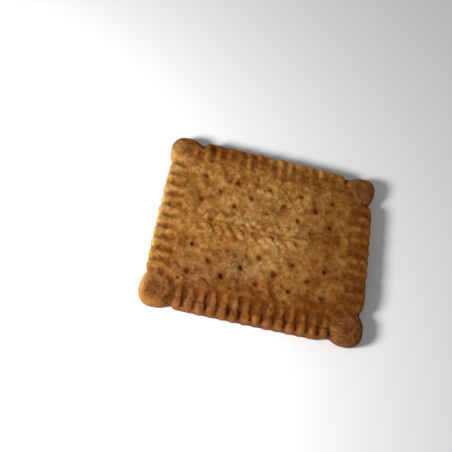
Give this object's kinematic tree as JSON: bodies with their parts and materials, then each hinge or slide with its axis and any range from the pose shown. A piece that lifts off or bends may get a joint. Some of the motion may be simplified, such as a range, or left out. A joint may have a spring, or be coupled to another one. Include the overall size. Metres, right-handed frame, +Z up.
{
  "type": "petit beurre biscuit",
  "caption": "Thin oblong butter biscuit with a toothed edge, a round ear at each corner, short ribs, docking holes and a band of pressed grain.",
  "frame": {"origin": "middle of the flat underside, which lies on the surface below", "axes": "+X along the long side, +Y along the short side away from the viewer, +Z up through the pressed top"},
  "size_m": [0.065, 0.054, 0.0059],
  "materials": {
    "baked_biscuit": "dry baked crust, golden brown, darker at the edges, ribs and holes, rough with a faint butter sheen"
  },
  "bodies": {
    "root": {"biscuit": "baked_biscuit"}
  },
  "joints": []
}
